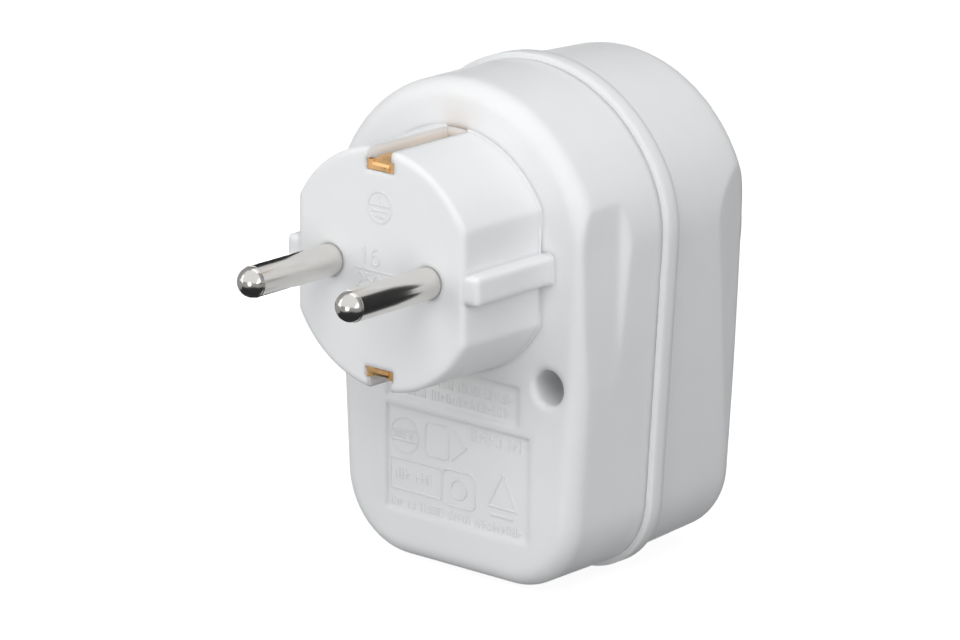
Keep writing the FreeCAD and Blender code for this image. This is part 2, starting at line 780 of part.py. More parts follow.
def make_rear_shell():
    rim = "parting - parting_gap"
    bosses = []
    holes = [sunk_panel("upper_panel", "upper_panel_left", "upper_panel_top", "upper_panel_bottom"),
             sunk_panel("lower_panel", "lower_panel_left", "lower_panel_top", "lower_panel_bottom")]
    for side in SIDES:
        x = mirrored(side, "screw_side")
        post_x = mirrored(side, "board_post_side")
        bosses.append(rod("rear_screw_boss", "screw_boss_radius", ("rear_face + wall / 2", rim), x,
                          "-screw_drop"))
        bosses.append(rod("rear_board_post", "board_post_radius",
                          ("rear_face + wall / 2", "main_board_back"), post_x, "-board_post_drop"))
        holes.append(rod("rear_screw_well", "screw_well_radius", (before("rear_face"), "screw_well_end"), x,
                         "-screw_drop"))
        holes.append(well_mouth(x))
        holes.append(rod("rear_screw_passage", "screw_passage_radius",
                         (before("screw_well_end"), after("parting")), x, "-screw_drop"))
        holes.append(rod("rear_post_pilot", "board_screw_radius",
                         (after(PLUG_BACK), after("main_board_back")), post_x, "-board_post_drop"))
    trim = case_slab("rear_boss_trim", ("rear_face + fit_gap", rim), "-wall / 2")
    inner = common("rear_bosses", fuse("rear_boss_group", *bosses), trim)
    return cut("rear_shell", fuse("rear_solid", make_rear_cup(), inner), *holes)


def window_box(name, grow, depth):
    """A block over the window's outline, larger by grow on each side."""
    return box(name, x=("-window_half_width - (%s)" % grow, "window_half_width + %s" % grow), depth=depth,
               z=("-window_bottom - (%s)" % grow, "%s - window_top" % grow))


def key_x(index):
    return "%s * key_pitch" % (index - 1.5)


def key_block(name, index, grow, depth):
    """A block on one key's centre line, larger than its cap by grow on each side."""
    return block(name, key_x(index), "-key_drop", "(2 * key_half_width + 2 * (%s))" % grow,
                 "(2 * key_half_height + 2 * (%s))" % grow, depth)


def make_front_cup():
    """The front shell's skin: drafted sides, rounded front edge, grip flats, the band and its lip."""
    cup = case_slab("front_outside", ("parting", "front_face"), "0", "front_draft")
    round_edges(cup, "front_round", at_depth("front_face"))
    grips = grip_cutters("front_grip", "front_grip_plane", after("front_face"), "front_face",
                         "front_face - grip_run * front_grip_run_out", "front_grip_lean")
    band = case_slab("front_band", ("parting", "parting + band_width"), "band_proud")
    round_edges(band, "band_round", at_depth("parting", "parting + band_width"))
    lip = case_slab("front_lip", ("parting - lip", after("parting")), "-wall / 2 - fit_gap")
    below_lip = before("parting", "lip + 1")
    gaps = [rod("front_lip_gap", "screw_boss_radius + 2 * fit_gap", (below_lip, "parting"),
                mirrored(side, "screw_side"), "-screw_drop") for side in SIDES]
    inside = case_slab("front_inside", ("parting", INNER_FACE), "-wall", "front_draft")
    between_grips = box("front_between_grips", depth=(before("parting"), after("front_face")),
                        x=("front_grip_wall - front_grip_plane", "front_grip_plane - front_grip_wall"),
                        z=("-base_drop", "base_drop"))
    return cut("front_cup", fuse("front_rim", cut("front_planed", cup, *grips), band, lip),
               common("front_cavity", inside, between_grips),
               case_slab("front_lip_inside", (below_lip, after("parting", "wall / 4")), "-wall"), *gaps)


def socket_cuts():
    """The socket's recess, its pin holes, its earth grooves and the pilots for the moulding behind it."""
    cuts = [rod("socket_recess", "socket_radius", (FLOOR_FRONT, after("front_face"))),
            rod("socket_rim_cut", "socket_radius", (before("front_face", "socket_rim"), "front_face"),
                cone_to="socket_radius + socket_rim")]
    half_groove = ("-clip_half_width - groove_gap", "clip_half_width + groove_gap")
    for side in SIDES:
        x = mirrored(side, "pin_spacing / 2")
        cuts.append(rod("socket_pin_hole", "socket_hole_radius", (before(FLOOR_BACK), after(FLOOR_FRONT)), x))
        cuts.append(rod("socket_hole_cut", "socket_hole_radius",
                        (before(FLOOR_FRONT, "socket_hole_rim"), FLOOR_FRONT), x,
                        cone_to="socket_hole_radius + socket_hole_rim"))
        cuts.append(rod("front_base_pilot", "post_screw_radius",
                        (before(FLOOR_BACK), after(FLOOR_BACK, "base_screw_reach + fit_gap")),
                        mirrored(side, "base_screw_side")))
        cuts.append(box("socket_clip_groove", x=half_groove,
                        depth=(before(FLOOR_BACK), "front_face - groove_start"),
                        z=mirrored_span(side, "groove_floor", "groove_top")))
    return cuts


def front_openings():
    """Openings for the display, the keys and the reset pin."""
    through = (before(INNER_FACE), after("front_face"))
    cuts = [window_box("window_opening", "-window_ledge", through),
            window_box("window_seat", "fit_gap", ("front_face - window_recess", after("front_face"))),
            rod("reset_opening", "reset_radius + key_gap", through, z="-reset_drop")]
    return cuts + [key_block("key_opening", index, "key_gap", through) for index in range(4)]


def make_front_shell():
    bosses = [rod("socket_well_wall", "socket_radius + wall", (FLOOR_BACK, "front_face - socket_rim"))]
    pilots = []
    for side in SIDES:
        x = mirrored(side, "screw_side")
        post_x = mirrored(side, "post_side")
        bosses.append(rod("front_screw_boss", "front_boss_radius",
                          ("parting + fit_gap", after(INNER_FACE)), x, "-screw_drop"))
        bosses.append(rod("front_display_post", "post_radius", (DISPLAY_FACE, INNER_FACE), post_x,
                          "-reset_drop"))
        pilots.append(rod("front_screw_pilot", "screw_pilot_radius",
                          ("parting", "parting + screw_pilot_depth"), x, "-screw_drop"))
        pilots.append(rod("front_display_pilot", "post_screw_radius",
                          ("display_board_back", before(INNER_FACE, "0.8")), post_x, "-reset_drop"))
    solid = fuse("front_solid", make_front_cup(), *bosses)
    opened = cut("front_open", solid, *(pilots + socket_cuts() + front_openings()))
    noses = [box("socket_nose", x=mirrored_span(side, "nose_reach", "socket_radius + wall / 2"),
                 depth=(before(FLOOR_FRONT, "wall / 2"), "front_face - nose_start"),
                 z=mirrored_span(upper, "nose_gap", "nose_top")) for side in SIDES for upper in SIDES]
    return fuse("front_shell", opened, *noses)


# ---------------------------------------------------------------- screws

def make_housing_screws():
    """Two cross-head screws in the wells beside the plug."""
    screws = []
    top = "screw_well_end - screw_head_height"
    for side in SIDES:
        x = mirrored(side, "screw_side")
        head = rod("housing_screw_head", "screw_head_radius", (top, "screw_well_end"), x, "-screw_drop")
        shank = rod("housing_screw_shank", "screw_pilot_radius",
                    (before("screw_well_end"), "parting + screw_reach"), x, "-screw_drop")
        cross = [block("housing_screw_cross", x, "-screw_drop", "(2 * %s)" % across, "(2 * %s)" % up,
                       (before(top), after(top, "cross_depth")))
                 for across, up in (("cross_half_length", "cross_half_width"),
                                    ("cross_half_width", "cross_half_length"))]
        screws.append(cut("housing_screw", fuse("housing_screw_solid", head, shank), *cross))
    return fuse("housing_screws", *screws)


def screw_pair(name, side_place, z, radii, head_depth, shank_depth):
    """Two small pan-head screws along Y that share one node."""
    head, shank = radii
    parts = []
    for side in SIDES:
        x = mirrored(side, side_place)
        parts.append(rod(name + "_head", head, head_depth, x, z))
        parts.append(rod(name + "_shank", shank, shank_depth, x, z))
    return fuse(name, *parts)


def make_small_screws():
    return [
        screw_pair("socket_base_screws", "base_screw_side", "0", ("small_head_radius", "post_screw_radius"),
                   ("base_back - small_head_height", "base_back"),
                   ("base_back", after(FLOOR_BACK, "base_screw_reach"))),
        screw_pair("board_screws", "board_post_side", "-board_post_drop",
                   ("small_head_radius", "board_screw_radius"),
                   (MAIN_FACE, after(MAIN_FACE, "small_head_height")),
                   (before("main_board_back", "board_screw_reach"), MAIN_FACE)),
        screw_pair("display_screws", "post_side", "-reset_drop",
                   ("2 * post_screw_radius", "post_screw_radius"),
                   (before("display_board_back"), "display_board_back"),
                   ("display_board_back", before(INNER_FACE, "post_screw_reach")))]


# ---------------------------------------------------------------- behind the socket

def make_socket_base():
    """The moulding behind the socket's floor: two contact chambers and the shutter's bed."""
    through = (before("base_back"), after(FLOOR_BACK))
    disc = rod("base_disc", "base_radius", ("base_back", FLOOR_BACK))
    bed = "shutter_thickness + 2 * shutter_gap"
    half_groove = ("-clip_half_width - groove_gap", "clip_half_width + groove_gap")
    cuts = [rod("shutter_bed", "shutter_radius + shutter_gap", (before(FLOOR_BACK, bed), through[1])),
            rod("spring_bed", "spring_bed_radius", (before(FLOOR_BACK, "spring_bed_depth"), through[1]))]
    for side in SIDES:
        cuts.append(rod("contact_chamber", "contact_bore + contact_wall + groove_gap", through,
                        mirrored(side, "pin_spacing / 2")))
        cuts.append(rod("base_screw_passage", "base_screw_hole", through, mirrored(side, "base_screw_side")))
        cuts.append(box("base_clip_notch", x=half_groove, depth=through,
                        z=mirrored_span(side, "base_notch_floor", "base_radius + 1")))
    pivot = rod("shutter_pivot", "pivot_radius",
                (before(FLOOR_BACK, "spring_bed_depth + fit_gap"), before(FLOOR_BACK, "fit_gap")))
    return fuse("socket_base", cut("base_cut", disc, *cuts), pivot)


def make_shutter():
    """A disc that covers both pin holes until it is turned; its windows then meet the holes."""
    back = before(FLOOR_BACK, "shutter_gap + shutter_thickness")
    through = (before(back), after(FLOOR_BACK))
    disc = rod("shutter_disc", "shutter_radius", (back, before(FLOOR_BACK, "shutter_gap")))
    cuts = [rod("shutter_bore", "pivot_radius + pivot_gap", through),
            rod("shutter_spring_hole", "spring_wire + fit_gap",
                (before(back), after(back, "spring_hole_depth")), "0", "spring_radius")]
    for side in SIDES:
        cuts.append(rod("shutter_window", "socket_hole_radius + shutter_window_gap", through,
                        mirrored(side, "pin_spacing / 2 * cos(shutter_turn)"),
                        mirrored(side, "pin_spacing / 2 * sin(shutter_turn)")))
    return cut("shutter", disc, *cuts)


def make_shutter_spring():
    """A flat torsion coil round the pivot, with a leg up into the shutter."""
    low = before(FLOOR_BACK, "spring_bed_depth - 1.7 * spring_wire")
    high = after(low, "1.7 * spring_wire")
    coils = [ring("spring_coil", "spring_radius", "spring_wire", depth) for depth in (low, high)]
    leg = rod("spring_leg", "spring_wire",
              (high, before(FLOOR_BACK, "shutter_gap + shutter_thickness - spring_hole_depth + fit_gap")),
              "0", "spring_radius")
    return fuse("shutter_spring", leg, *coils)


def make_socket_contact(name, side):
    """A split sleeve that grips a plug's pin, with a tail down to the main board."""
    x = mirrored(side, "pin_spacing / 2")
    sleeve = rod(name + "_sleeve", "contact_bore + contact_wall",
                 ("contact_back", before(FLOOR_BACK, "contact_front_gap")), x)
    bore = rod(name + "_bore", "contact_bore", (before("tail_back"), FLOOR_BACK), x)
    slit = block(name + "_slit", x, "0", "(2 * contact_slit)", "(4 * contact_bore)",
                 ("contact_slit_start", FLOOR_BACK))
    limits = mirrored_span(side, "tail_inner", "tail_outer")
    tail = box(name + "_tail", x=limits, depth=("tail_back", "tail_back + tail_thickness"),
               z=("-tail_drop", "-contact_bore"))
    foot = box(name + "_foot", x=limits, depth=("tail_back", "main_board_back"),
               z=("-tail_drop", "tail_thickness - tail_drop"))
    return fuse(name, cut(name + "_split", sleeve, bore, slit), cut(name + "_tail_end", tail, bore), foot)


def make_busbar(name, side):
    """A strip from a pin's tail round the plug's pin path and down to the main board."""
    hub_back = "rear_face + fit_gap"
    front_back = before("busbar_front", "busbar_thickness")
    narrow = mirrored_span(side, "busbar_inner", "busbar_inner + busbar_thickness")
    wide = mirrored_span(side, "busbar_inner", "busbar_inner + busbar_width")
    height = ("-busbar_half_height", "busbar_half_height")
    strip = fuse(
        name + "_strip",
        box(name + "_hub", x=mirrored_span(side, "busbar_inner", "busbar_hub_outer"),
            depth=(hub_back, after(hub_back, "busbar_thickness")), z=height),
        box(name + "_leg", x=narrow, depth=(hub_back, "busbar_front"), z=height),
        box(name + "_drop", x=wide, depth=(front_back, "busbar_front"), z=("-busbar_drop", height[1])),
        box(name + "_foot", x=wide, depth=(front_back, "main_board_back"),
            z=("-busbar_drop - busbar_thickness", "-busbar_drop")))
    hole = rod(name + "_hole", "pin_tail_radius", (before("rear_face"), "rear_face + pin_tail_reach"),
               mirrored(side, "pin_spacing / 2"))
    return cut(name, strip, hole)


# ---------------------------------------------------------------- boards

def make_board(name, back, gap, hole_radius, hole_side, hole_drop):
    """A circuit board that fills the lower half of the case, with rounded lower corners and two holes."""
    front = after(back, "board_thickness")
    through = (before(back), after(front))
    keep = box(name + "_keep", x=("-arch_radius", "arch_radius"), depth=through,
               z=("-base_drop", "-board_top"))
    holes = [rod(name + "_hole", hole_radius, through, mirrored(side, hole_side), "-" + hole_drop)
             for side in SIDES]
    blank = case_slab(name + "_blank", (back, front), "-wall - " + gap)
    return cut(name, common(name + "_half", blank, keep), *holes)


def on_board(name, part, width, height, depth):
    """A block at a part's own place on a board."""
    x, z = PLACES[part]
    return block(name, x, z, width, height, depth)


def lead(name, place, depth):
    return rod(name + "_lead", "lead_radius", (MAIN_FACE, depth), *place)


PLACES = {
    "suppressor": ("-suppressor_side", "-suppressor_drop"),
    "smoothing": ("smoothing_side", "-smoothing_drop"),
    "varistor": ("varistor_side", "-varistor_drop"),
    "resistor": ("-resistor_side", "-resistor_drop"),
    "chip": ("chip_side", "-chip_drop"),
    "crystal": ("crystal_side", "-crystal_drop"),
    "header": ("-header_side", "-header_drop"),
    "shunt": ("shunt_side", "-shunt_drop"),
    "driver": ("-driver_side", "-driver_drop"),
    "cell": ("cell_side", "-cell_drop"),
}


def make_suppressor():
    """A boxed film capacitor with a stepped top."""
    top = after(MAIN_FACE, "suppressor_depth")
    step = "suppressor_crown"
    body = on_board("suppressor_block", "suppressor", "suppressor_width", "suppressor_height",
                    (MAIN_FACE, before(top, step)))
    crown = on_board("suppressor_top", "suppressor", "(suppressor_width - 2 * %s)" % step,
                     "(suppressor_height - 2 * %s)" % step, (before(top, "2 * " + step), top))
    return fuse("suppressor_capacitor", body, crown)


def make_smoothing():
    """A round capacitor with a rolled groove over its rubber bung."""
    place = PLACES["smoothing"]
    can = rod("smoothing_can", "smoothing_radius",
              (after(MAIN_FACE, "2 * smoothing_groove"), after(MAIN_FACE, "smoothing_length")), *place)
    groove = ring("smoothing_roll", "smoothing_radius + fit_gap", "smoothing_groove",
                  after(MAIN_FACE, "6 * smoothing_groove"), *place)
    bung = rod("smoothing_bung", "smoothing_bung_radius", (MAIN_FACE, after(MAIN_FACE)), *place)
    return fuse("smoothing_capacitor", cut("smoothing_shaped", can, groove), bung)


def make_varistor():
    x, z = PLACES["varistor"]
    disc = drum("varistor_disc", "varistor_radius", x, "varistor_thickness", z,
                after(MAIN_FACE, "varistor_depth"))
    leads = [lead("varistor", (after(x, mirrored(side, "varistor_lead_across")),
                               after(z, mirrored(-side, "varistor_lead_up"))),
                  after(MAIN_FACE, "varistor_lead_length")) for side in SIDES]
    return fuse("varistor", disc, *leads)


def make_fuse_resistor():
    x, z = PLACES["resistor"]
    height = after(MAIN_FACE, "resistor_depth")
    barrel = drum("resistor_barrel", "resistor_radius", x, "resistor_length", z, height)
    wire = drum("resistor_wire", "resistor_wire_radius", x, "resistor_span", z, height)
    leads = [lead("resistor", (after(x, mirrored(side, "resistor_lead_span / 2")), z), height)
             for side in SIDES]
    return fuse("fuse_resistor", barrel, wire, *leads)


def make_metering_chip():
    x, z = PLACES["chip"]
    body = on_board("chip_body", "chip", "chip_width", "chip_height",
                    (after(MAIN_FACE, "chip_lift"), after(MAIN_FACE, "chip_top")))
    legs = [block("chip_leg", "%s + %s * chip_leg_pitch" % (x, step - 3.5), z, "chip_leg_width",
                  "chip_leg_span", (MAIN_FACE, after(MAIN_FACE, "chip_leg_height"))) for step in range(8)]
    return fuse("metering_chip", body, *legs)


def make_crystal():
    x, z = PLACES["crystal"]
    can = on_board("crystal_can", "crystal", "crystal_width", "crystal_height",
                   (after(MAIN_FACE, "crystal_lift"), after(MAIN_FACE, "crystal_top")))
    leads = [lead("crystal", (after(x, mirrored(side, "crystal_lead_side")), z), after(MAIN_FACE))
             for side in SIDES]
    return fuse("crystal", can, *leads)


def make_board_link():
    """The upright that joins the two boards."""
    return on_board("board_link", "header", "header_width", "header_height",
                    (MAIN_FACE, "display_board_back"))


def make_shunt():
    """A bridge of resistance alloy on the back of the main board."""
    x, z = PLACES["shunt"]
    back = before("main_board_back", "shunt_stand_off")
    bar = on_board("shunt_bar", "shunt", "shunt_width", "shunt_height",
                   (back, after(back, "shunt_thickness")))
    feet = [block("shunt_foot_block", after(x, mirrored(side, "(shunt_width - shunt_foot) / 2")), z,
                  "shunt_foot", "shunt_height", (back, "main_board_back")) for side in SIDES]
    return fuse("shunt", bar, *feet)


# ---------------------------------------------------------------- display and keys

def make_display():
    """The frame on the display board, the glass in it, its contact strips and the window in front."""
    glass_back = after(DISPLAY_FACE, "zebra_depth")
    glass_middle = after(glass_back, "glass_thickness")
    frame = window_box("display_frame_block", "frame_gap + frame_wall", (DISPLAY_FACE, INNER_FACE))
    hollow = window_box("display_frame_hollow", "frame_gap", (before(DISPLAY_FACE), after(INNER_FACE)))
    front_glass = window_box("display_glass_front", "glass_gap",
                             (glass_middle, after(glass_middle, "glass_thickness")))
    rear_glass = box("display_glass_rear", depth=(glass_back, glass_middle),
                     x=("-window_half_width - glass_gap", "window_half_width + glass_gap"),
                     z=("-window_bottom - glass_gap", "-window_top - glass_contact_edge"))
    half_zebra = ("zebra_side_gap - window_half_width", "window_half_width - zebra_side_gap")
    zebras = [box("zebra_strip", x=half_zebra, depth=(DISPLAY_FACE, glass_back), z=span)
              for span in (("-window_top - zebra_inset - zebra_height", "-window_top - zebra_inset"),
                           ("glass_gap - window_bottom", "glass_gap + zebra_height - window_bottom"))]
    window = window_box("display_window", "0", ("front_face - window_recess", "front_face - window_sink"))
    return [cut("display_frame", frame, hollow), fuse("display_glass", front_glass, rear_glass),
            fuse("zebra_strips", *zebras), window]


def make_backup_cell():
    """The coin cell on the back of the display board and the clip over it."""
    x, z = PLACES["cell"]
    front = before("display_board_back", "cell_stand_off")
    back = before(front, "cell_thickness")
    can = rod("cell_can", "cell_radius", (after(back, "cell_cap_step"), front), x, z)
    cap = rod("cell_cap", "cell_cap_radius", (back, front), x, z)
    clip_back = before(back, "cell_clip_thickness")
    bridge = on_board("cell_bridge", "cell", "cell_clip_width", "cell_clip_span", (clip_back, back))
    reach = "(cell_clip_span - cell_clip_thickness) / 2"
    legs = [block("cell_clip_leg", x, after(z, mirrored(side, reach)), "cell_clip_width",
                  "cell_clip_thickness", (clip_back, "display_board_back")) for side in SIDES]
    return [fuse("backup_cell", can, cap), fuse("cell_clip", bridge, *legs)]


def make_key_mat():
    """The rubber sheet under the keys, with a dome below each."""
    sheet_block = block("key_mat_sheet", "0", "-key_drop", "(2 * mat_side)", "(2 * mat_half_height)",
                        (DISPLAY_FACE, after(DISPLAY_FACE, "mat_thickness")))
    rise = (DISPLAY_FACE, after(DISPLAY_FACE, "dome_height"))
    domes = [rod("key_mat_dome", "dome_radius", rise, key_x(index), "-key_drop", cone_to="dome_top_radius")
             for index in range(4)]
    return fuse("key_mat", sheet_block, *domes)


def make_key(name, index):
    """One key: the cap in its opening, a flange that keeps it in and a stem over the mat."""
    behind = before(INNER_FACE, "fit_gap")
    cap = key_block(name + "_cap", index, "0", (before(behind, "key_flange"), "front_face + key_proud"))
    flange = key_block(name + "_flange", index, "key_flange",
                       (before(behind, "key_flange_thickness"), behind))
    stem = rod(name + "_stem", "key_stem_radius",
               (after(DISPLAY_FACE, "key_stem_gap"), before(behind, "key_flange")), key_x(index), "-key_drop")
    return fuse(name, cap, flange, stem)


def make_reset_pin():
    behind = before(INNER_FACE, "fit_gap")
    stem = rod("reset_stem", "reset_radius",
               (after(DISPLAY_FACE, "reset_stem_gap"), before("front_face", "window_sink")), z="-reset_drop")
    flange = rod("reset_flange", "reset_flange_radius", (before(behind, "key_flange_thickness"), behind),
                 z="-reset_drop")
    return fuse("reset_pin", stem, flange)


# ---------------------------------------------------------------- everything

def build():
    """Every separate piece of the meter."""
    parts = [make_rear_shell(), make_front_shell(), make_plug_body(), make_pin_carrier(),
             make_pin("pin_live", 1), make_pin("pin_neutral", -1), make_plug_earth_clip(),
             make_socket_earth_clip(), make_earth_link(), make_housing_screws(), make_socket_base(),
             make_shutter(), make_shutter_spring(), make_socket_contact("socket_contact_live", 1),
             make_socket_contact("socket_contact_neutral", -1), make_busbar("live_busbar", 1),
             make_busbar("neutral_busbar", -1)]
    parts += make_small_screws()
    parts.append(make_board("main_board", "main_board_back", "board_gap", "board_screw_hole",
                            "board_post_side", "board_post_drop"))
    parts += [make_suppressor(), make_smoothing(), make_varistor(), make_fuse_resistor(),
              make_metering_chip(), make_crystal(), make_board_link(), make_shunt()]
    parts.append(make_board("display_board", "display_board_back", "display_board_gap", "board_screw_radius",
                            "post_side", "reset_drop"))
    parts.append(on_board("display_chip", "driver", "driver_size", "driver_size",
                          ("display_board_back - driver_thickness", "display_board_back")))
    parts += make_display() + make_backup_cell() + [make_key_mat()]
    parts += [make_key("key_" + name, index) for index, name in enumerate(("mode", "set", "down", "up"))]
    parts.append(make_reset_pin())
    return parts


def check(parts):
    """Stop if any object failed to compute or any piece is empty or broken."""
    failed = [thing.Label for thing in doc.Objects if "Invalid" in thing.State or "Error" in thing.State]
    failed += [part.Label for part in parts if part.Shape.isNull() or not part.Shape.isValid()]
    failed += [part.Label for part in parts if not part.Shape.Solids or part.Shape.Volume <= 0]
    if failed:
        raise RuntimeError("these failed: " + ", ".join(failed))


fill_sheet()
pieces = build()
doc.recompute()
check(pieces)
os.makedirs("parts", exist_ok=True)
for piece in pieces:
    piece.Shape.exportStep("parts/%s.step" % piece.Label)
    print("%-24s %2d solid  %8.1f mm3" % (piece.Label, len(piece.Shape.Solids), piece.Shape.Volume))
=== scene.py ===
"""Looks of the plug-in power meter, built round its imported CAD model. Metres, in the CAD's frame."""
import json
import math
import random

import bmesh
import bpy
from mathutils import Matrix, Vector


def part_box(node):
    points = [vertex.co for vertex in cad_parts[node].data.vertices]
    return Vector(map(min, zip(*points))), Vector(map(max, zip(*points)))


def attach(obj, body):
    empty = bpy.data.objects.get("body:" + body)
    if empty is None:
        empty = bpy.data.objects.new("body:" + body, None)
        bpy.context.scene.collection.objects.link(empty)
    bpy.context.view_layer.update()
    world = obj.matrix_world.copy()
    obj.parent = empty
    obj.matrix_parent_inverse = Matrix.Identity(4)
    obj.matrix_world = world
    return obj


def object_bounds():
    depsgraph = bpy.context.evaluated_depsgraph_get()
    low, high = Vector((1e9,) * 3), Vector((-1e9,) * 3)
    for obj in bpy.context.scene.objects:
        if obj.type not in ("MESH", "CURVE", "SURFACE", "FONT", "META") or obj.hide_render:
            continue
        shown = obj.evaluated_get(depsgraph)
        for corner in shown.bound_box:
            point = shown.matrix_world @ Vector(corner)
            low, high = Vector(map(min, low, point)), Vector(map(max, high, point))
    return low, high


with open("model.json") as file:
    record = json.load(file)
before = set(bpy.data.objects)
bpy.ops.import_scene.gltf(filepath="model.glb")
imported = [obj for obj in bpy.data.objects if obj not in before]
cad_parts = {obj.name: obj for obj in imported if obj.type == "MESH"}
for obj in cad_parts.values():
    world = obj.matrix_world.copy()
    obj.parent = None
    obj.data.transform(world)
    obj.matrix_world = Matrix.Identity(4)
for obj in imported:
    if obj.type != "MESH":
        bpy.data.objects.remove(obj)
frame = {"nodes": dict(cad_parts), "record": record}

cad_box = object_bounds()
nodes = frame["nodes"]
MM = 0.001


# ---------------------------------------------------------------- materials

def new_material(name):
    """A material, its node tree and its shader."""
    material = bpy.data.materials.new(name)
    material.use_nodes = True
    tree = material.node_tree
    shader = tree.nodes["Principled BSDF"]
    return material, tree, shader


def add(tree, kind, **settings):
    """A node with its properties set; names that aren't properties are inputs."""
    node = tree.nodes.new(kind)
    for key, setting in settings.items():
        if hasattr(node, key):
            setattr(node, key, setting)
        else:
            node.inputs[key.replace("_", " ")].default_value = setting
    return node


def noise(tree, scale, detail=3.0, roughness=0.5, stretch=(1, 1, 1)):
    """Noise in the object's own space; scale is per millimetre."""
    place = add(tree, "ShaderNodeTexCoord")
    mapping = add(tree, "ShaderNodeMapping")
    mapping.inputs["Scale"].default_value = [scale / MM * s for s in stretch]
    texture = add(tree, "ShaderNodeTexNoise")
    texture.inputs["Scale"].default_value = 1.0
    texture.inputs["Detail"].default_value = detail
    texture.inputs["Roughness"].default_value = roughness
    tree.links.new(place.outputs["Object"], mapping.inputs["Vector"])
    tree.links.new(mapping.outputs["Vector"], texture.inputs["Vector"])
    return texture.outputs["Fac"]


def ramp(tree, source, *stops):
    """Colours along a value."""
    node = add(tree, "ShaderNodeValToRGB")
    elements = node.color_ramp.elements
    while len(elements) < len(stops):
        elements.new(0.5)
    for element, (position, colour) in zip(elements, stops):
        element.position = position
        element.color = (*colour, 1)
    tree.links.new(source, node.inputs["Fac"])
    return node.outputs["Color"]


def spread(tree, source, low, high):
    """Maps a texture's middle range to numbers from low to high."""
    node = add(tree, "ShaderNodeMapRange")
    for key, setting in (("From Min", 0.3), ("From Max", 0.7), ("To Min", low), ("To Max", high)):
        node.inputs[key].default_value = setting
    tree.links.new(source, node.inputs["Value"])
    return node.outputs["Result"]


def bump(tree, shader, height, strength, distance, edge=0.0):
    """Raises the surface by a texture; edge rounds the shading over a sharp edge, in millimetres."""
    node = add(tree, "ShaderNodeBump")
    if edge:
        bevel = add(tree, "ShaderNodeBevel", samples=6)
        bevel.inputs["Radius"].default_value = edge * MM
        tree.links.new(bevel.outputs["Normal"], node.inputs["Normal"])
    node.inputs["Strength"].default_value = strength
    node.inputs["Distance"].default_value = distance * MM
    tree.links.new(height, node.inputs["Height"])
    tree.links.new(node.outputs["Normal"], shader.inputs["Normal"])


def shade(colour, factor):
    return tuple(min(1.0, channel * factor) for channel in colour)


def plastic(name, colour, roughness=0.38, grain=6.0, grain_height=0.004, glow=0.0, mottle=0.02, edge=0.0):
    """Moulded plastic: eroded-tool grain, slight mottling and uneven gloss."""
    material, tree, shader = new_material(name)
    cloud = noise(tree, 0.06, 4.0)
    tint = ramp(tree, cloud, (0.3, shade(colour, 1 - mottle)), (0.7, shade(colour, 1 + mottle)))
    tree.links.new(tint, shader.inputs["Base Color"])
    tree.links.new(spread(tree, noise(tree, 0.35, 5.0), roughness - 0.05, roughness + 0.05),
                   shader.inputs["Roughness"])
    bump(tree, shader, noise(tree, grain, 2.0, 0.6), 0.35, grain_height, edge)
    if glow:
        shader.inputs["Subsurface Weight"].default_value = glow
        shader.inputs["Subsurface Radius"].default_value = (1.0, 0.9, 0.8)
        shader.inputs["Subsurface Scale"].default_value = 0.8 * MM
    return material


def metal(name, colour, roughness=0.15, brush=(1, 1, 1), scratch=0.003, tarnish=0.12, uneven=0.4):
    """Metal with fine drawn lines, tarnish and uneven polish."""
    material, tree, shader = new_material(name)
    tint = ramp(tree, noise(tree, 0.25, 6.0), (0.3, shade(colour, 1 - tarnish)), (0.7, colour))
    tree.links.new(tint, shader.inputs["Base Color"])
    tree.links.new(spread(tree, noise(tree, 0.8, 6.0, 0.5, brush), roughness * (1 - uneven),
                          roughness * (1 + uneven)), shader.inputs["Roughness"])
    bump(tree, shader, noise(tree, 3.0, 3.0, 0.5, brush), 0.25, scratch)
    shader.inputs["Metallic"].default_value = 1.0
    return material


def clear(name, colour, roughness=0.05):
    """Clear plastic or glass with faint wipe marks."""
    material, tree, shader = new_material(name)
    tint = ramp(tree, noise(tree, 0.1, 3.0), (0.3, shade(colour, 0.97)), (0.7, colour))
    tree.links.new(tint, shader.inputs["Base Color"])
    tree.links.new(spread(tree, noise(tree, 0.5, 6.0, 0.6, (4, 1, 1)), roughness, roughness * 2.4),
                   shader.inputs["Roughness"])
    shader.inputs["Transmission Weight"].default_value = 1.0
    shader.inputs["IOR"].default_value = 1.49
    return material


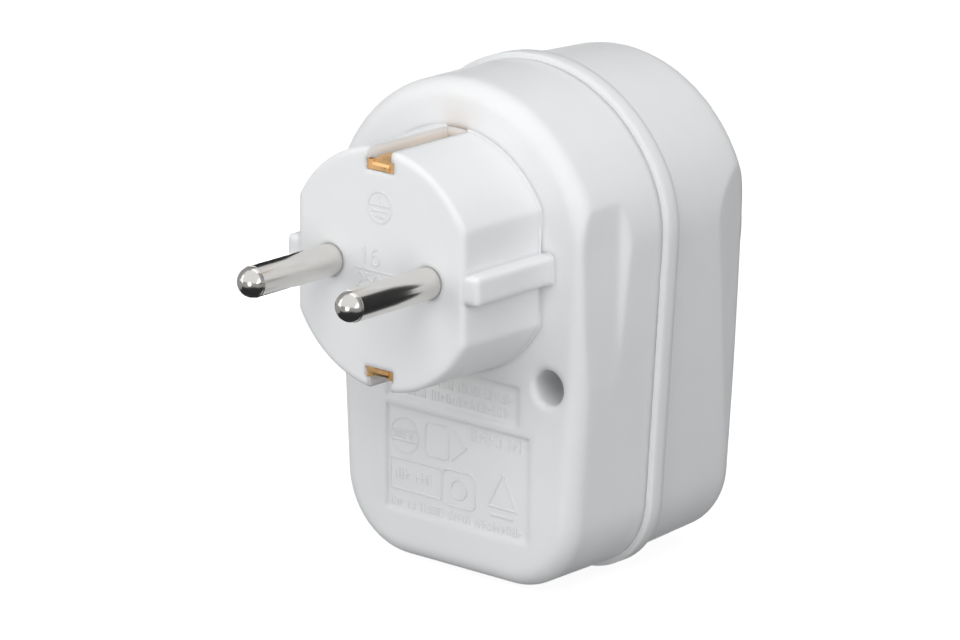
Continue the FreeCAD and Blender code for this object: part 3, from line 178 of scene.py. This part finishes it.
WHITE = (0.80, 0.81, 0.82)
FINISHES = {
    "case_plastic": plastic("white_case", WHITE, roughness=0.46, glow=0.15, edge=1.8),
    "plug_plastic": plastic("white_plug", shade(WHITE, 1.01), roughness=0.5, glow=0.15, edge=1.3),
    "insert_plastic": plastic("warm_insert", (0.80, 0.795, 0.77), roughness=0.5),
    "nickel": metal("nickel_plate", (0.76, 0.745, 0.72), 0.19, (1, 0.05, 1), 0.0006, 0.04, uneven=0.12),
    "brass": metal("brass_strip", (0.95, 0.60, 0.28), 0.42, (1, 0.05, 1)),
    "steel": metal("zinc_steel", (0.62, 0.63, 0.65), 0.3),
    "spring_steel": metal("spring_wire", (0.45, 0.46, 0.48), 0.3),
    "board": plastic("solder_mask", (0.03, 0.16, 0.07), 0.3, 3.0, 0.01, mottle=0.15),
    "component_black": plastic("black_moulding", (0.02, 0.02, 0.022), 0.55, mottle=0.2),
    "capacitor_yellow": plastic("yellow_box", (0.75, 0.50, 0.06), 0.3),
    "capacitor_sleeve": plastic("sleeve", (0.02, 0.03, 0.10), 0.25),
    "varistor_blue": plastic("blue_epoxy", (0.02, 0.08, 0.35), 0.2, 1.5, 0.03),
    "resistor_green": plastic("green_lacquer", (0.15, 0.32, 0.25), 0.25),
    "alloy": metal("resistance_alloy", (0.60, 0.52, 0.45), 0.3),
    "display_glass": plastic("display_cell", (0.36, 0.41, 0.34), 0.12, mottle=0.04),
    "window": clear("window", (0.95, 0.97, 0.97)),
    "elastomer": plastic("elastomer", (0.40, 0.24, 0.26), 0.7),
    "key_rubber": plastic("key_mat_rubber", (0.08, 0.085, 0.09), 0.7),
    "key_plastic": plastic("key_grey", (0.13, 0.145, 0.17), 0.4),
}
INK = plastic("display_ink", (0.03, 0.035, 0.04), 0.5, mottle=0.1)
FAINT_INK = plastic("display_ghost", (0.27, 0.31, 0.255), 0.4, mottle=0.06)
BEZEL_PRINT = plastic("bezel_print", (0.20, 0.215, 0.235), 0.35, mottle=0.03)
MARK_WHITE = plastic("mark_white", (0.75, 0.76, 0.77), 0.45, mottle=0.03)
RAISED_WHITE = plastic("raised_white", WHITE, glow=0.15)


def dress_cad_nodes():
    """Every CAD node takes the finish of its slot in the record."""
    for entry in frame["record"]["subparts"]:
        mesh = nodes[entry["node"]].data
        mesh.materials.clear()
        mesh.materials.append(FINISHES[entry["material_slot"]])


def soften(node, width):
    """A small round on a CAD node's sharp edges."""
    bevel = nodes[node].modifiers.new("edge_round", "BEVEL")
    bevel.width = width * MM
    bevel.segments = 3
    bevel.limit_method = "ANGLE"
    bevel.angle_limit = math.radians(40)
    bevel.harden_normals = True


# ---------------------------------------------------------------- raised marks

SUNK = -0.02                # mm: how far below its surface a raised line or plate starts
CREST = 0.27                # half of a raised line's flat top, as a share of its foot
PIN_SIDE = 9.5              # mm: the pins' distance from the middle
EARTH_SIGN_Z = 9.5
MARK_WIDTH, MARK_LIFT = 0.42, 0.07
STEM_WIDTH, STEM_LIFT = 0.36, 0.05
FINE_MARK_WIDTH = 0.38
DIGIT_PITCH = 0.82          # a digit's room, as a share of its height
PLUG_FACE = 0.0
PANEL_FLOOR = -17.35
WELD = 0.001                # mm: the distance at which a node's split corners are joined again
PLUG_DEPTH, PARTING = 17.0, 34.45
PLUG_SECTION, REAR_SECTION = 16.7, 34.2
PLUG_SEAM = ((-0.05, 0.35), (0.03, 0.3), (0.1, 0.12), (0.3, 0.015), (0.34, -0.01), (-0.05, -0.01))
GROOVE_FLOOR = ((-0.4, 0.3), (-0.08, 0.3), (-0.08, -0.1), (-0.4, -0.1))
STROKE, STROKE_LIFT = 0.3, 0.1
LINE, LINE_LIFT = 0.44, 0.09
BAR = 0.6


def finish_piece(name, bm, material, body="case", smooth=False):
    """Make an object of a bmesh, give it its finish and let it ride."""
    bmesh.ops.recalc_face_normals(bm, faces=bm.faces)
    mesh = bpy.data.meshes.new(name)
    bm.to_mesh(mesh)
    bm.free()
    piece = bpy.data.objects.new(name, mesh)
    bpy.context.scene.collection.objects.link(piece)
    mesh.materials.append(material)
    for face in mesh.polygons:
        face.use_smooth = smooth
    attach(piece, body)


def on_plane(y, outward):
    """Maps (x, z, height above the plane) in mm to a place; outward is the plane's side along Y."""
    def place(x, z, height):
        return Vector((x, y + outward * height, z)) * MM
    return place


def ridge(bm, points, width, height, place, closed=False):
    """A raised line with sloping sides along (x, z) points."""
    count = len(points)
    rows = []
    for index, point in enumerate(points):
        here = Vector(point)
        last = Vector(points[index - 1]) if closed or index else here
        following = Vector(points[(index + 1) % count]) if closed or index < count - 1 else here
        inward = (here - last).normalized() if here != last else (following - here).normalized()
        outward = (following - here).normalized() if following != here else inward
        bend = inward + outward
        normal = Vector((-bend.y, bend.x)).normalized()
        spread_out = 1.0 / max(0.5, normal.dot(Vector((-inward.y, inward.x))))
        row = []
        for across, up in ((-0.5, SUNK), (-CREST, height), (CREST, height), (0.5, SUNK)):
            spot = here + normal * (across * width * spread_out)
            row.append(bm.verts.new(place(spot.x, spot.y, up)))
        rows.append(row)
    pairs = list(zip(rows, rows[1:])) + ([(rows[-1], rows[0])] if closed else [])
    for low, high in pairs:
        for side in range(4):
            bm.faces.new((low[side], low[(side + 1) % 4], high[(side + 1) % 4], high[side]))
    if not closed:
        bm.faces.new(rows[0])
        bm.faces.new(rows[-1])


def arc_points(x, z, radius, start, end, steps=24, squeeze=1.0):
    """Points along an arc, angles in degrees."""
    turns = [math.radians(start + (end - start) * step / steps) for step in range(steps + 1)]
    return [(x + squeeze * radius * math.cos(turn), z + radius * math.sin(turn)) for turn in turns]


def rounded_box(x, z, half_width, half_height, radius):
    """A closed outline with rounded corners."""
    points = []
    for quarter, (sx, sz) in enumerate(((1, 1), (-1, 1), (-1, -1), (1, -1))):
        points += arc_points(x + sx * (half_width - radius), z + sz * (half_height - radius), radius,
                             90 * quarter, 90 * quarter + 90, 6)
    return points


# seen from behind, so that +X is to the reader's left: each run is (across, up) of a cell 0.6 wide, 1 high
DIGITS = {
    "0": [arc_points(0.3, 0.5, 0.5, 0, 360, 20, 0.6)],
    "1": [[(0.08, 0.78), (0.32, 1.0), (0.32, 0.0)]],
    "2": [arc_points(0.3, 0.72, 0.28, 170, -30, 10, 1.0) + [(0.02, 0.0), (0.6, 0.0)]],
    "5": [[(0.56, 1.0), (0.1, 1.0), (0.06, 0.55)] + arc_points(0.28, 0.32, 0.32, 110, -140, 12, 1.0)],
    "6": [arc_points(0.42, 0.5, 0.48, 80, 170, 8, 0.85), arc_points(0.3, 0.31, 0.31, 0, 360, 20, 0.95)],
}


def number_ridges(bm, text, x, z, height, width, lift, place):
    """Raised digits whose first one starts at x and which run towards -X."""
    for order, digit in enumerate(text):
        for run in DIGITS[digit]:
            points = [(x - (order * DIGIT_PITCH + across) * height, z + up * height) for across, up in run]
            ridge(bm, points, width, lift, place)


def make_plug_marks():
    """The plug face's marks: an earth sign in a ring above the pins, and the plug's rating below it."""
    bm = bmesh.new()
    place = on_plane(PLUG_FACE, 1)
    ring = arc_points(0, EARTH_SIGN_Z, 2.3, 0, 360, 48)[:-1]
    ridge(bm, ring, MARK_WIDTH, MARK_LIFT, place, closed=True)
    stem = [(0, EARTH_SIGN_Z + 1.9), (0, EARTH_SIGN_Z + 0.35)]
    ridge(bm, stem, STEM_WIDTH, STEM_LIFT, place)
    for up, half in ((0.3, 1.9), (-0.55, 1.6), (-1.4, 1.0)):
        bar = [(half, EARTH_SIGN_Z + up), (-half, EARTH_SIGN_Z + up)]
        ridge(bm, bar, MARK_WIDTH, MARK_LIFT, place)
    number_ridges(bm, "16", 3.6, 0.6, 2.5, MARK_WIDTH, MARK_LIFT, place)
    ridge(bm, [(4.9, -0.25), (-3.2, -0.25)], FINE_MARK_WIDTH, MARK_LIFT, place)
    number_ridges(bm, "250", 4.4, -2.9, 2.0, FINE_MARK_WIDTH, MARK_LIFT, place)
    finish_piece("plug_marks", bm, RAISED_WHITE)


def outline_of(node, depth):
    """A CAD node's outer outline at a depth behind the plug's face, as (x, z) points in mm, anticlockwise."""
    bm = bmesh.new()
    bm.from_mesh(nodes[node].data)
    bmesh.ops.remove_doubles(bm, verts=bm.verts, dist=WELD * MM)
    cut = bmesh.ops.bisect_plane(bm, geom=bm.verts[:] + bm.edges[:] + bm.faces[:],
                                 plane_co=(0, -depth * MM, 0), plane_no=(0, 1, 0))
    links = {}
    for edge in cut["geom_cut"]:
        if isinstance(edge, bmesh.types.BMEdge):
            for here, there in (edge.verts, reversed(edge.verts)):
                links.setdefault(here, []).append(there)
    first = max(links, key=lambda vert: vert.co.x)
    loop = [first, links[first][0]]
    while loop[-1] is not first:
        loop.append(next(vert for vert in links[loop[-1]] if vert is not loop[-2]))
    points = [(vert.co.x / MM, vert.co.z / MM) for vert in loop[1:]]
    bm.free()
    area = sum(a[0] * b[1] - a[1] * b[0] for a, b in zip(points, points[1:] + points[:1]))
    return points if area > 0 else points[::-1]


def bead(name, node, cut_depth, depth, profile):
    """A closed bead that follows a node's outline; its profile runs in (outward, towards the plug) mm."""
    bm = bmesh.new()
    place = on_plane(-depth, 1)
    outline = [Vector(point) for point in outline_of(node, cut_depth)]
    rows = []
    for index, here in enumerate(outline):
        ahead = (outline[(index + 1) % len(outline)] - outline[index - 1]).normalized()
        outward = Vector((ahead.y, -ahead.x))
        spots = [(here + outward * across, up) for across, up in profile]
        rows.append([bm.verts.new(place(spot.x, spot.y, up)) for spot, up in spots])
    for low, high in zip(rows, rows[1:] + rows[:1]):
        for side in range(len(profile)):
            after = (side + 1) % len(profile)
            bm.faces.new((low[side], low[after], high[after], high[side]))
    finish_piece(name, bm, RAISED_WHITE, smooth=True)


def make_seams():
    """The soft bead round the plug's root and the floor of the groove between the two shells."""
    bead("plug_seam", "plug_body", PLUG_SECTION, PLUG_DEPTH, PLUG_SEAM)
    bead("parting_groove", "rear_shell", REAR_SECTION, PARTING, GROOVE_FLOOR)


def tick_row(bm, left, right, z, height, rng, place):
    """A row of short upright strokes that stands for a line of small print, without any letters."""
    def stroke(start, end):
        ridge(bm, [start, end], STROKE, STROKE_LIFT, place)

    x = left
    foot = z - height / 2
    while x > right + 0.5 * height:
        tall = height * rng.choice((1.0, 1.0, 0.72))
        stroke((x, foot), (x, foot + tall))
        kind = rng.random()
        if kind < 0.35:
            step = 0.42 * height
            stroke((x, foot + 0.1), (x - step, foot + 0.1))
            stroke((x - step, foot), (x - step, foot + tall))
            x -= step
        elif kind < 0.6:
            stroke((x, z), (x - 0.34 * height, z))
            x -= 0.2 * height
        x -= (0.42 if rng.random() < 0.82 else 0.95) * height


def make_rating_marks():
    """Raised frames, rings and rows of strokes in the two sunk panels, in place of the maker's print."""
    rng = random.Random(5)
    bm = bmesh.new()
    place = on_plane(PANEL_FLOOR, 1)
    for z in (-21.4, -23.6):
        tick_row(bm, 12.6, -11.2, z, 1.5, rng, place)
    ring = arc_points(10.3, -31.0, 2.75, 0, 360, 48)[:-1]
    ridge(bm, ring, LINE, LINE_LIFT, place, closed=True)
    for z in (-30.1, -31.9):
        ridge(bm, [(12.8, z), (7.8, z)], LINE, LINE_LIFT, place)
    tick_row(bm, 12.3, 8.3, -31.0, 1.0, rng, place)
    ridge(bm, rounded_box(3.9, -30.6, 2.3, 2.6, 0.9), LINE, LINE_LIFT, place, closed=True)
    ridge(bm, [(1.0, -28.1), (-1.9, -30.6), (1.0, -33.1)], LINE, LINE_LIFT, place)
    tick_row(bm, -3.0, -13.6, -28.2, 1.9, rng, place)
    ridge(bm, rounded_box(8.0, -37.2, 5.05, 2.4, 0.3), LINE, LINE_LIFT, place, closed=True)
    tick_row(bm, 12.0, 3.6, -37.1, 1.7, rng, place)
    ridge(bm, rounded_box(-0.5, -37.3, 3.2, 2.8, 1.1), LINE, LINE_LIFT, place, closed=True)
    ridge(bm, arc_points(-0.5, -37.3, 1.5, 0, 360, 32)[:-1], LINE, LINE_LIFT, place, closed=True)
    ridge(bm, [(-6.3, -38.4), (-9.1, -33.0), (-11.9, -38.4)], LINE, LINE_LIFT, place, closed=True)
    ridge(bm, [(-6.8, -39.7), (-11.3, -39.7)], BAR, LINE_LIFT, place)
    tick_row(bm, 12.8, -13.4, -41.6, 1.4, rng, place)
    finish_piece("rating_marks", bm, RAISED_WHITE)


# ---------------------------------------------------------------- front

def flat_shape(bm, outline, low, high, place):
    """A thin closed plate over an outline of (x, z) points."""
    bottom = [bm.verts.new(place(x, z, low)) for x, z in outline]
    top = [bm.verts.new(place(x, z, high)) for x, z in outline]
    bm.faces.new(bottom)
    bm.faces.new(top)
    count = len(outline)
    for index in range(count):
        following = (index + 1) % count
        bm.faces.new((bottom[index], bottom[following], top[following], top[index]))


def segment_outline(x, z, length, thick, upright):
    """A display segment: a bar with pointed ends."""
    half, side = length / 2, thick / 2
    outline = [(-half, 0), (-half + side, side), (half - side, side), (half, 0), (half - side, -side),
               (-half + side, -side)]
    return [(x + v, z + u) if upright else (x + u, z + v) for u, v in outline]


SEGMENTS = ((0, 1, False), (0.5, 0.5, True), (0.5, -0.5, True), (0, -1, False), (-0.5, -0.5, True),
            (-0.5, 0.5, True), (0, 0, False))
LIT = {"0": "012345", "2": "01643", "3": "01623"}
SEGMENT_HIGH, SEGMENT_WIDE, SEGMENT_THICK, SEGMENT_GAP = 2.8, 3.6, 0.62, 0.25
FIRST_DIGIT_X, FIGURE_PITCH = -9.3, 5.4
FIGURES_UP = 0.6            # the figures' middle above the glass's
INK_THICKNESS = 0.03
BORDER_GAP, BORDER_SIDE, BORDER_TOP = 0.12, 2.0, 1.5
COLLAR_RADII, COLLAR_FOOT, COLLAR_TOP = (2.55, 2.35), -0.3, -0.08
SIGN_WIDTH, SIGN_LIFT = 0.3, 0.02
RESET_RING_RADIUS, RESET_RING_WIDTH, RESET_RING_LIFT = 1.5, 0.24, 0.1
WINDOW_RECESS = 0.15        # the window's face behind the front
KEY_EDGE = 0.22


def make_display_digits():
    """Seven-segment figures on the display glass, dark where lit and faint where not."""
    lower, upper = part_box("display_glass")
    middle_z = (lower[2] + upper[2]) / 2 / MM
    place = on_plane(lower[1] / MM, -1)
    lit, dim = bmesh.new(), bmesh.new()

    def print_shape(is_lit, outline):
        flat_shape(lit if is_lit else dim, outline, 0.0, INK_THICKNESS, place)

    for order, digit in enumerate("0230"):
        x = FIRST_DIGIT_X + order * FIGURE_PITCH
        for index, (u, v, upright) in enumerate(SEGMENTS):
            length = (SEGMENT_HIGH if upright else SEGMENT_WIDE) - SEGMENT_GAP
            spot_x, spot_z = x + u * SEGMENT_WIDE, middle_z + FIGURES_UP + v * SEGMENT_HIGH
            print_shape(str(index) in LIT[digit],
                        segment_outline(spot_x, spot_z, length, SEGMENT_THICK, upright))
    print_shape(True, rounded_box(4.2, middle_z - 2.3, 0.35, 0.35, 0.12))
    for order in range(5):
        print_shape(order in (0, 3), rounded_box(-10.2 + order * 5.0, middle_z - 3.3, 1.7, 0.26, 0.2))
    for order in range(3):
        print_shape(order == 0, rounded_box(12.9, middle_z + 2.6 - 2.6 * order, 1.2, 0.7, 0.3))
    finish_piece("display_figures", lit, INK)
    finish_piece("display_figures_off", dim, FAINT_INK)


def frame_plate(bm, outer, inner, low, high, place):
    """A flat ring between two closed outlines with the same number of points."""
    rings = [[bm.verts.new(place(x, z, level)) for x, z in outline]
             for outline, level in ((outer, low), (outer, high), (inner, high), (inner, low))]
    count = len(outer)
    for first, second in zip(rings, rings[1:] + rings[:1]):
        for index in range(count):
            following = (index + 1) % count
            bm.faces.new((first[index], first[following], second[following], second[index]))


def make_window_border():
    """The printed border on the back of the window."""
    lower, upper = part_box("display_window")
    place = on_plane(upper[1] / MM, 1)
    middle = ((lower[0] + upper[0]) / 2 / MM, (lower[2] + upper[2]) / 2 / MM)
    half = [(upper[axis] - lower[axis]) / 2 / MM - BORDER_GAP for axis in (0, 2)]
    bm = bmesh.new()
    opening = rounded_box(*middle, half[0] - BORDER_SIDE, half[1] - BORDER_TOP, 0.8)
    frame_plate(bm, rounded_box(*middle, *half, 0.3), opening, SUNK, 0.01, place)
    finish_piece("window_border", bm, BEZEL_PRINT)


def make_pin_collars():
    """The white floor of the shallow recess round each pin."""
    bm = bmesh.new()
    for pin_x in (-PIN_SIDE, PIN_SIDE):
        outer, inner = (arc_points(pin_x, 0, radius, 0, 360, 48)[:-1] for radius in COLLAR_RADII)
        frame_plate(bm, outer, inner, COLLAR_FOOT, COLLAR_TOP, on_plane(PLUG_FACE, 1))
    finish_piece("pin_collars", bm, RAISED_WHITE)


def make_key_signs():
    """A raised sign on each key: a ring, a square, and a triangle down and up."""
    signs = {
        "key_mode": arc_points(0, 0, 0.75, 0, 360, 24)[:-1],
        "key_set": rounded_box(0, 0, 0.75, 0.7, 0.2),
        "key_down": [(-0.9, 0.6), (0.9, 0.6), (0.0, -0.75)],
        "key_up": [(-0.9, -0.6), (0.9, -0.6), (0.0, 0.75)],
    }
    for node, outline in signs.items():
        lower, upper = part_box(node)
        x, z = (lower[0] + upper[0]) / 2 / MM, (lower[2] + upper[2]) / 2 / MM
        bm = bmesh.new()
        sign = [(x + u, z + v) for u, v in outline]
        ridge(bm, sign, SIGN_WIDTH, SIGN_LIFT, on_plane(lower[1] / MM, -1), closed=True)
        finish_piece(node + "_sign", bm, MARK_WHITE, node + "_body")


def make_front_marks():
    """A ring round the reset hole."""
    lower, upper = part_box("reset_pin")
    z = (lower[2] + upper[2]) / 2 / MM
    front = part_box("display_window")[0][1] / MM - WINDOW_RECESS
    bm = bmesh.new()
    ring = arc_points(0, z, RESET_RING_RADIUS, 0, 360, 36)[:-1]
    ridge(bm, ring, RESET_RING_WIDTH, RESET_RING_LIFT, on_plane(front, -1), closed=True)
    finish_piece("front_marks", bm, FINISHES["case_plastic"])


dress_cad_nodes()
for key in ("key_mode", "key_set", "key_down", "key_up"):
    soften(key, KEY_EDGE)
make_plug_marks()
make_seams()
make_rating_marks()
make_display_digits()
make_window_border()
make_pin_collars()
make_key_signs()
make_front_marks()


# ---------------------------------------------------------------- studio

CAMERA_ANGLES = (220.68, 16.03, 0.512)          # azimuth, elevation and roll in degrees
CAMERA_TARGET = (0.00666, -0.0302, -0.01509)
CAMERA_DISTANCE = 0.8457
CAMERA_LENS, SENSOR_WIDTH = 210.99, 36.0
LIT_PLACE = (0, -0.02, -0.01)
WALL_LIGHT = 0.34
FLOOR_SIZE, FLOOR_SHINE = 6.0, 0.80
CARD_BLACK = (0.02, 0.02, 0.022)
BRIGHT_CARD_SHINE = 0.85
BRIGHT_CARD_PLACE = (-0.05, 0.14, 0.19)
LIGHTS = (
    ("low_by_camera", (-0.10, 0.35, -0.02), 0.12, 0.225),
    ("over_camera", (-0.16, 0.24, 0.30), 0.30, 0.677),
    ("left", (0.28, 0.30, 0.12), 0.30, 0.586),
    ("right", (-0.45, 0.05, 0.15), 0.30, 0.568),
    ("top", (0.0, 0.0, 0.50), 0.40, 0.411),
    ("top_front", (0.0, -0.30, 0.45), 0.40, 0.324),
    ("front", (0.30, -0.45, -0.14), 0.30, 0.95),
)       # name, place, side and power


def look_matrix(azimuth, elevation, roll, target, distance):
    """A camera's place and turn: azimuth 0 looks along +Y and 90 along -X."""
    a, e, r = (math.radians(angle) for angle in (azimuth, elevation, roll))
    back = Vector((math.sin(a) * math.cos(e), -math.cos(a) * math.cos(e), math.sin(e)))
    right = (-back).cross(Vector((0, 0, 1))).normalized()
    up = right.cross(-back)
    x_axis = math.cos(r) * right + math.sin(r) * up
    y_axis = math.cos(r) * up - math.sin(r) * right
    turn = Matrix((x_axis, y_axis, back)).transposed().to_4x4()
    return Matrix.Translation(Vector(target) + back * distance) @ turn


def make_camera():
    data = bpy.data.cameras.new("camera")
    data.sensor_width = SENSOR_WIDTH
    data.lens = CAMERA_LENS
    data.clip_start = 0.05
    camera = bpy.data.objects.new("camera", data)
    bpy.context.scene.collection.objects.link(camera)
    camera.matrix_world = look_matrix(*CAMERA_ANGLES, CAMERA_TARGET, CAMERA_DISTANCE)
    bpy.context.scene.camera = camera


def facing_object(place):
    """The turn that points something at the object from a place."""
    return (Vector(LIT_PLACE) - Vector(place)).to_track_quat("-Z", "Y").to_euler()


def area_light(name, place, size, power):
    """A square white light that points at the object."""
    data = bpy.data.lights.new(name, "AREA")
    data.shape = "RECTANGLE"
    data.size = data.size_y = size
    data.energy = power
    light = bpy.data.objects.new(name, data)
    bpy.context.scene.collection.objects.link(light)
    light.location = place
    light.rotation_euler = facing_object(place)


def make_world():
    """Even light from all sides, as white walls and a white table send back."""
    world = bpy.data.worlds.new("studio")
    bpy.context.scene.world = world
    world.use_nodes = True
    world.node_tree.nodes["Background"].inputs["Color"].default_value = (*[WALL_LIGHT] * 3, 1)


def make_shine(paint, strength):
    """Lets a paint give off white light."""
    shader = paint.node_tree.nodes["Principled BSDF"]
    shader.inputs["Emission Color"].default_value = (1, 1, 1, 1)
    shader.inputs["Emission Strength"].default_value = strength


def make_card(name, place, turn, size, shine=0.0):
    """A dark or shining card that only shows in reflections, as a studio sets beside bright metal."""
    bpy.ops.mesh.primitive_plane_add(size=1.0, location=place, rotation=turn)
    card = bpy.context.object
    card.name = name
    card.scale = (*size, 1)
    paint = plastic(name + "_paint", CARD_BLACK, 0.9, grain_height=0.0)
    make_shine(paint, shine)
    card.data.materials.append(paint)
    card.visible_camera = False
    card.visible_diffuse = False
    card.visible_shadow = False


def make_floor():
    """A pale floor that lights nothing itself, so that the object's shade stays even."""
    bpy.ops.mesh.primitive_plane_add(size=FLOOR_SIZE, location=(0, 0, cad_box[0][2]))
    floor = bpy.context.object
    floor.name = "floor"
    paint = plastic("pale_floor", (0.40, 0.40, 0.405), 0.8, grain_height=0.0, mottle=0.004)
    make_shine(paint, FLOOR_SHINE)
    floor.data.materials.append(paint)
    floor.visible_glossy = False
    floor.visible_diffuse = False
    floor.visible_shadow = False


def make_studio():
    make_floor()
    make_world()
    make_card("back_card", (-0.1, -0.55, 0.05), (math.pi / 2, 0, 0), (1.5, 1.1))
    make_card("low_card", (-0.05, 0.1, -0.35), (0, 0, 0), (1.2, 1.3))
    make_card("bright_card", BRIGHT_CARD_PLACE, facing_object(BRIGHT_CARD_PLACE), (0.9, 0.5),
              BRIGHT_CARD_SHINE)
    for name, place, size, power in LIGHTS:
        area_light(name, place, size, power)
    bpy.context.scene.view_settings.view_transform = "Standard"


make_camera()
make_studio()
